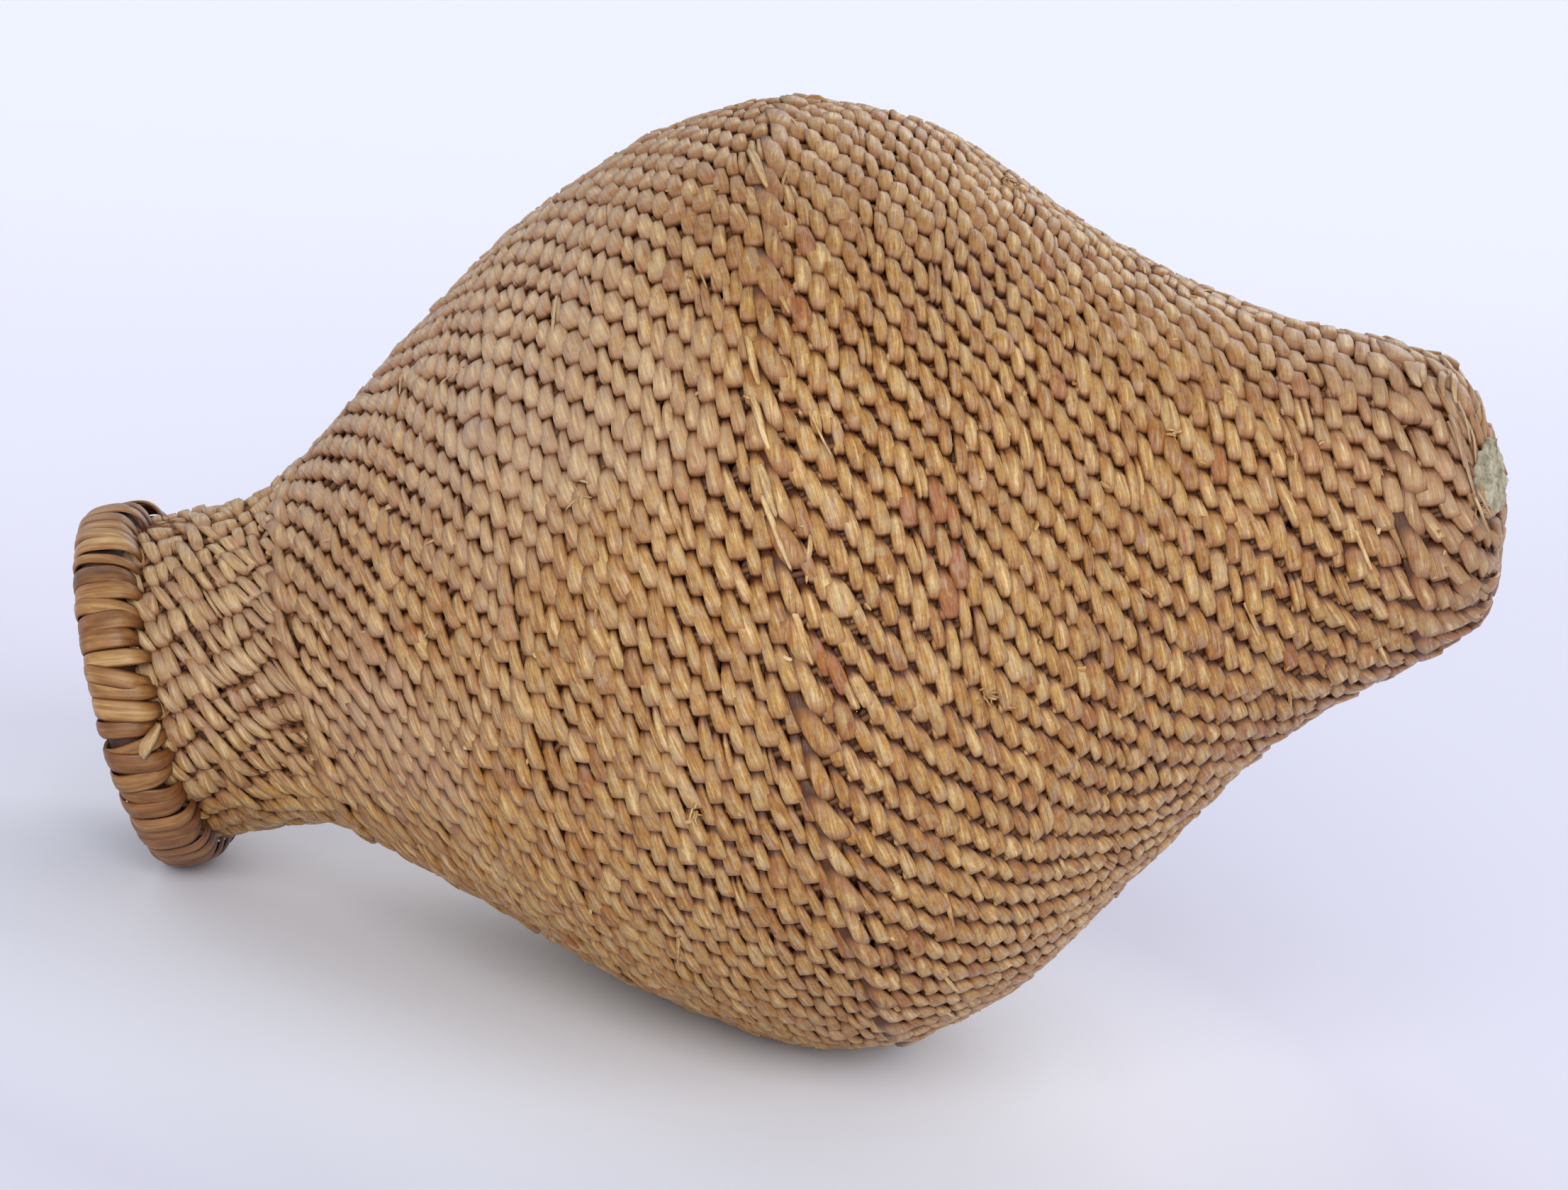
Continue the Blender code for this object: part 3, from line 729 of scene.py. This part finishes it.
def cut_end():
    """The cut end of a splint, beside a warp of the nearest course."""
    along = chance.uniform(0.055, 0.305)
    course = min(courses, key=lambda c: abs(c["along"] - along))
    bearing = math.degrees(chance.choice(course["rods"]))
    return (course["along"] + chance.uniform(-1.8, 1.8) * MM, bearing,
            chance.uniform(20, 100) * chance.choice((-1, 1)),
            chance.uniform(1.6, 3.0), chance.uniform(0.8, 1.7), chance.uniform(0.5, 0.9),
            -1.2, chance.uniform(-0.1, 0.4), chance.uniform(-0.3, 0.3), chance.uniform(0.3, 0.8))


def lying_length():
    """A split length that lies over two or three stitches."""
    along, turned = chance.uniform(0.06, 0.29), chance.uniform(-180, 180)
    return (along, turned, chance.uniform(-14, 24),
            chance.uniform(7, 16), chance.uniform(0.6, 1.5), chance.uniform(0.4, 0.7),
            -0.7, chance.uniform(0.4, 0.7), chance.uniform(-0.7, 0.2), chance.uniform(0.4, 0.9))


def frayed(along, bearing, count, reach, lift):
    """A tuft of fibres where the weft has worn through."""
    return [(along + chance.uniform(-1.5, 1.5) * MM, bearing + chance.uniform(-1.2, 1.2), chance.uniform(-60, 110),
             chance.uniform(0.4, 1.0) * reach, chance.uniform(0.3, 0.8), 0.35,
             -0.6, chance.uniform(0.2, 0.7) * lift, chance.uniform(0.0, 0.8) * lift, chance.uniform(0.2, 0.9))
            for _ in range(count)]


CUT_ENDS, LYING_LENGTHS = 240, 44
ends = [cut_end() for _ in range(CUT_ENDS)] + [lying_length() for _ in range(LYING_LENGTHS)]
# Flat splints over the belly's three-strand course
ends += [
    (0.1700, -128, 10, 12, 2.0, 0.9, -0.2, 1.1, 0.1, 0.62), (0.1702, -121, 12, 13, 1.9, 0.9, -0.2, 1.2, 0.1, 0.70),
    (0.1706, -113, 11, 12, 2.1, 0.9, -0.2, 1.1, 0.0, 0.66), (0.1704, -109.5, 15, 17, 1.4, 0.7, 0.2, 1.5, 0.3, 0.85),
    (0.1693, -158, 14, 16, 2.2, 0.9, 0.0, 1.2, 0.2, 0.60), (0.1738, -97, 10, 13, 1.8, 0.8, -0.2, 1.2, 0.2, 0.74)]
# Crushed and torn strands beside the patch in the base
ends += [
    (0.3000, -160, 22, 9, 3.8, 1.2, 0.2, 0.9, 0.0, 0.62), (0.3080, -131, 20, 9, 1.6, 0.8, 0.0, 0.8, 0.0, 0.75),
    (0.3072, -157, 6, 8, 2.0, 0.6, 0.2, 1.0, 0.2, 0.55), (0.3094, -158, 8, 9, 1.8, 0.6, 0.3, 1.1, 0.1, 0.78),
    (0.3086, -134, 12, 13, 1.9, 0.6, 0.3, 1.3, 0.5, 0.10), (0.3104, -119, 11, 11, 1.6, 0.5, 0.2, 1.2, 0.6, 0.30),
    (0.3118, -98, 14, 9, 1.3, 0.5, 0.3, 1.0, 1.0, 0.80), (0.3124, -100, 30, 7, 1.0, 0.4, 0.3, 0.9, 1.2, 0.70),
    (0.3108, -143, 14, 10, 1.5, 0.5, 0.2, 1.0, 0.4, 0.12), (0.3126, -131, 16, 8, 1.4, 0.5, 0.2, 0.9, 0.2, 0.62)]
# A splint lifted at the rim, and a stitch that stands up on the crest
ends += [
    (0.0096, -79, 128, 8.0, 3.4, 0.9, 5.2, 6.0, 0.6, 0.85), (0.1762, 179, 85, 5.6, 3.0, 1.7, -0.4, 1.5, -0.3, 0.5)]
for tuft in ((0.1311, -114.3, 7, 4.0, 1.0), (0.1021, -142.6, 6, 4.0, 1.0), (0.2090, -81.6, 10, 3.5, 1.3),
             (0.2195, -176.0, 9, 3.0, 2.2), (0.0900, -101.0, 6, 3.5, 0.9), (0.1450, -75.0, 7, 3.5, 1.0),
             (0.3128, -92.0, 7, 4.0, 1.2), (0.2500, -120.0, 7, 3.5, 1.0), (0.1250, 40.0, 8, 4.0, 1.0),
             (0.2300, 100.0, 8, 4.0, 1.0)):
    ends += frayed(*tuft)
gathered("loose_ends", [strewn(splinter, splints(ends))], willow_finish, "willow_weft")

# ---- Hoop
# A bent withe, coloured deep brown, that stiffens the mouth. It shows only between the
# turns of the binding.

HOOP_AT, HOOP_RING, HOOP_HALF = 6.7 * MM, 36.2 * MM, 5.6 * MM
bpy.ops.object.select_all(action="DESELECT")
bpy.ops.mesh.primitive_torus_add(major_segments=96, minor_segments=14, major_radius=HOOP_RING, minor_radius=HOOP_HALF)
hoop = bpy.context.object
hoop.name = "hoop_withe"
points = np.array([v.co[:] for v in hoop.data.vertices])
hoop.data.vertices.foreach_set("co", lie(points[:, 0], points[:, 1], points[:, 2] + HOOP_AT).ravel())
hoop.data.update()
bpy.ops.object.shade_smooth()
withe = Finish("dark_withe")
bark = withe.noise(withe.place(), 300.0, 4)
withe_colour = withe.ramp(bark, (0.3, (38, 20, 10)), (0.75, (84, 50, 26)))
hoop.data.materials.append(withe.done(withe_colour, bark * 0.3 + 0.5, bark))
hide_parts("rim_hoop")
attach(hoop, "root")

# ---- Rim binding
# Flat split splints, golden brown and half glossy, wound side by side round the
# hoop and through the collar's first courses. Some are narrower, some slip aside.

# One turn in mm: the loop's radius, half the splint's thickness, and its width to its thickness
LOOP, SPLINT_HALF, SPLINT_FLATNESS = 6.25, 0.40, 5.6
BINDING_TURNS, BINDING_RING = 62, HOOP_RING + 6.2 * MM
bpy.ops.object.select_all(action="DESELECT")
bpy.ops.mesh.primitive_torus_add(major_segments=40, minor_segments=8, major_radius=LOOP, minor_radius=SPLINT_HALF)
turn = bpy.context.object
turn.name = "binding_turn"
bpy.ops.object.mode_set(mode="EDIT")
bpy.ops.mesh.select_all(action="SELECT")
bpy.ops.transform.resize(value=(1, 1, SPLINT_FLATNESS), center_override=(0, 0, 0))
bpy.ops.object.mode_set(mode="OBJECT")
loop_points = np.array([v.co[:] for v in turn.data.vertices])
loop_faces = [list(p.vertices) for p in turn.data.polygons]
bpy.data.objects.remove(turn)


def splint_finish(name):
    f = Finish(name)
    tone, painted_shade, _ = f.parts(f.attribute("look"))
    grain = f.attribute("grain")
    streak = f.noise(f.scaled(grain, (0.07, 1.3, 1)), 1.0, 4, 0.6)
    fibre = f.noise(f.scaled(grain, (0.2, 5.0, 1)), 1.0, 2)
    blotch = f.noise(f.scaled(grain, (0.22, 0.45, 1)), 1.0, 3)
    colour = f.ramp(tone + (streak - 0.5) * 1.0 + (blotch - 0.5) * 0.9,
                    (0.0, (92, 54, 24)), (0.3, (127, 84, 40)), (0.6, (159, 115, 61)), (1.0, (202, 163, 105)))
    # Painted shade where a splint turns in, at its edges and on the side facing the floor, with the cracks along its
    # grain also darkened
    shade_and_cracks = painted_shade + (0.42 - streak).kept(0, 1) * 1.6
    colour = f.tinted(colour, (124, 68, 28), (shade_and_cracks * 1.3).kept(0, 0.8))
    colour = f.tinted(colour, (40, 18, 8), ((shade_and_cracks - 0.45) * 1.4).kept(0, 0.9))
    roughness = (0.38 + (fibre - 0.5) * 0.4).kept(0.22, 0.8)
    return f.done(colour, roughness, streak * 0.6 + fibre * 0.4, 0.0003, 0.7)


places, grains, looks = [], [], []
lean = chance.normal(1.3, 1.0, BINDING_TURNS)
short = chance.random(BINDING_TURNS) < 0.16
for i in range(BINDING_TURNS):
    bearing = -math.pi + 2 * math.pi * (i + chance.uniform(-0.18, 0.18)) / BINDING_TURNS
    x, y, z = loop_points.T
    size, turned = np.hypot(x, y), np.arctan2(y, x)
    x, y = (size * np.sign(part) * np.abs(part)**0.72 for part in (np.cos(turned), np.sin(turned)))
    over = np.clip(x / LOOP, 0, 1) * (y > -1)
    width = np.clip(chance.normal(1.04, 0.13), 0.7, 1.28) * (1 - 0.25 * over**3)
    reach = 1 + (-0.16 if short[i] else chance.uniform(-0.05, 0.09)) * (x > 0)
    proud = 1 + chance.uniform(-0.05, 0.05)
    top = math.exp(-((abs(bearing) - math.pi) / 0.5) ** 2)
    angle = bearing + (z * width + (lean[i] + 1.8 * top) * x / LOOP) * MM / BINDING_RING
    along = HOOP_AT + (1.0 + chance.uniform(-0.35, 0.35) + x * 1.26 * reach) * MM
    ring = HOOP_RING + (y - 0.7 * over**4) * proud * MM
    places.append(lie(ring * np.cos(angle), ring * np.sin(angle), along))
    edge = np.abs(z) / np.abs(z).max()
    # Painted shade: turns are darker on the side that faces the floor, partly the splints' own darker colour, and at
    # their edges, where they turn over and inside the loop
    under = math.exp(-(bearing / 0.8) ** 2)
    grains.append(np.stack((turned * 7.0, z * width, np.full(len(x), i * 3.7)), -1))
    tone = np.clip(chance.normal(0.46, 0.15), 0, 1) - 0.2 * under
    painted_shade = np.clip(0.58 * edge**3 + 0.55 * over**8 + 0.30 * under + 0.7 * (y < -2), 0, 1)
    looks.append(np.stack((np.full(len(x), tone), painted_shade, np.full(len(x), 0.5)), -1))
gathered("binding_splints", [(loop_faces, np.array(places), np.array(grains), np.array(looks))],
         splint_finish("binding_splint"), "binding_splint", "rim_binding")

# ---- Patch
# A wad of grey-green fibre pressed into the base to stop a hole. It lies to one
# side of the tip, towards the crest and the near side.

PATCH_HALF, PATCH_UP, PATCH_NEAR = (7.6, 14.0, 1.3), 5.0 * MM, 13.2 * MM
bpy.ops.object.select_all(action="DESELECT")
bpy.ops.mesh.primitive_uv_sphere_add(segments=64, ring_count=40, radius=1.0)
patch = bpy.context.object
patch.name = "mend_wad"
bpy.ops.transform.resize(value=PATCH_HALF, center_override=(0, 0, 0))
bpy.ops.object.transform_apply(location=True, rotation=True, scale=True)
for name, size, strength in (("lumps", 3.0, 3.2), ("tufts", 0.9, 0.7)):
    clouds = bpy.data.textures.new(name, "CLOUDS")
    clouds.noise_scale = size
    lumps = patch.modifiers.new(name, "DISPLACE")
    lumps.texture, lumps.strength, lumps.texture_coords = clouds, strength, "LOCAL"
    bpy.ops.object.modifier_apply(modifier=name)
points = np.array([v.co[:] for v in patch.data.vertices]) * MM
down, far = points[:, 0] - PATCH_UP, points[:, 1] - PATCH_NEAR
arc = np.clip(ARC[-1] - np.hypot(down, far), 0, ARC[-1] - 0.3 * MM)
patch.data.vertices.foreach_set("co", on_skin(arc, np.arctan2(far, down), -points[:, 2] - 0.1 * MM).ravel())
patch.data.update()
bpy.ops.object.shade_smooth()
wad = Finish("mend_fibre")
felt = wad.noise(wad.place(), 700.0, 5, 0.65)
clump = wad.noise(wad.place(), 190.0, 3)
wad_colour = wad.ramp(felt * 0.5 + clump * 0.5, (0.32, (92, 78, 58)), (0.44, (148, 138, 114)),
                      (0.58, (186, 178, 152)), (0.76, (220, 214, 194)))
patch.data.materials.append(wad.done(wad_colour, felt * 0.2 + 0.75, felt, 0.0005, 0.9))
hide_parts("base_patch")
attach(patch, "root")

# ---- Studio
# A pale table, a little paler towards the back left, five broad soft lights, the
# strongest from the front, and the camera at the height and tilt of the photograph.

bpy.ops.object.select_all(action="DESELECT")
bpy.ops.mesh.primitive_circle_add(vertices=96, radius=14.0, fill_type="NGON")
floor = bpy.context.object
floor.name = "floor"
paper = Finish("pale_table")
across, deep, _ = paper.parts(paper.place())
# Painted light: the table grows paler towards the back left
shade = paper.ramp(across * -0.768 + deep * 0.640, (0.0, (221, 220, 236)), (0.3, (221, 220, 236)),
                   (0.55, (226, 226, 241)), (0.80, (230, 230, 243)), (1.0, (231, 232, 245)))
# Painted light: a paler pool round the front of the basket lifts its shadow
painted_light_pool = 1.0 - ((across + 0.015) ** 2 + (deep + 0.02) ** 2) * 28.0
shade = paper.tinted(shade, (242, 246, 255), painted_light_pool.kept(0, 1))
floor.data.materials.append(paper.done(shade, 0.95, **{"Specular IOR Level": 0.0}))

world = bpy.data.worlds.new("studio")
bpy.context.scene.world = world
world.use_nodes = True
sky = world.node_tree.nodes["Background"].inputs
sky["Color"].default_value, sky["Strength"].default_value = (0.85, 0.91, 1.0, 1), 0.42


def soft_light(name, comes_from, spread, power):
    """A broad soft box far away, as a sun with a wide disk."""
    light = bpy.data.lights.new(name, "SUN")
    light.angle, light.energy = math.radians(spread), power
    held = bpy.data.objects.new(name, light)
    bpy.context.scene.collection.objects.link(held)
    x, y, z = comes_from
    held.rotation_euler = (math.atan2(math.hypot(x, y), z), 0, math.atan2(y, x) + math.pi / 2)


soft_light("front", (0.0, -1.5, 0.8), 50, 1.62)
soft_light("low", (-0.3, -1.5, 0.22), 50, 0.92)
soft_light("back", (0.3, 1.2, 0.8), 50, 1.18)
soft_light("right", (1.3, -0.1, 0.7), 45, 0.88)
soft_light("left", (-1.0, 0.8, 0.8), 50, 0.6)

camera = bpy.data.objects.new("camera", bpy.data.cameras.new("camera"))
bpy.context.scene.collection.objects.link(camera)
camera.location = (0.07882, -1.00616, 0.32844)
camera.rotation_euler = tuple(math.radians(a) for a in (76.665, -12.752, 7.279))
camera.data.lens, camera.data.sensor_width = 105, 36
camera.data.clip_end = 60
bpy.context.scene.camera = camera
bpy.context.scene.view_settings.view_transform = "Standard"
